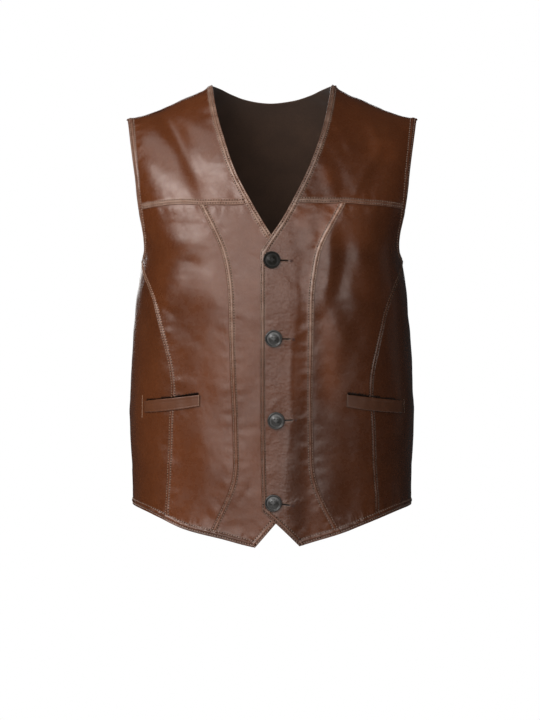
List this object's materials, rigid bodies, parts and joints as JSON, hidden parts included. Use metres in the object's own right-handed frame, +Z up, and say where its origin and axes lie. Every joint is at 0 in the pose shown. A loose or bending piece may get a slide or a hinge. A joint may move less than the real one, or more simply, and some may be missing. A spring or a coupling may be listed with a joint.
{
  "type": "leather vest",
  "caption": "Buttoned V-neck leather vest with front yokes, curved front seams, side panels, slanted welt pockets and a pointed front hem, in its worn form.",
  "frame": {"origin": "midway between the two places where the vest bears on the wearer's shoulders: the inner faces at the middle of each shoulder, 140 mm either side", "axes": "+Z up, -Y out of the front, +X to the wearer's left"},
  "size_m": [0.3992, 0.2481, 0.6285],
  "materials": {
    "leather": "smooth waxed brown leather with a soft gloss",
    "button": "dark grey horn-like button, satin gloss",
    "thread": "tan topstitching thread"
  },
  "bodies": {
    "root": {"front_yoke_right": "leather", "front_yoke_left": "leather", "front_center_right": "leather", "front_center_left": "leather", "front_side_right": "leather", "front_side_left": "leather", "side_right": "leather", "side_left": "leather", "back": "leather", "pocket_welt_right": "leather", "pocket_welt_left": "leather", "button_1": "button", "button_2": "button", "button_3": "button", "button_4": "button"}
  },
  "joints": []
}
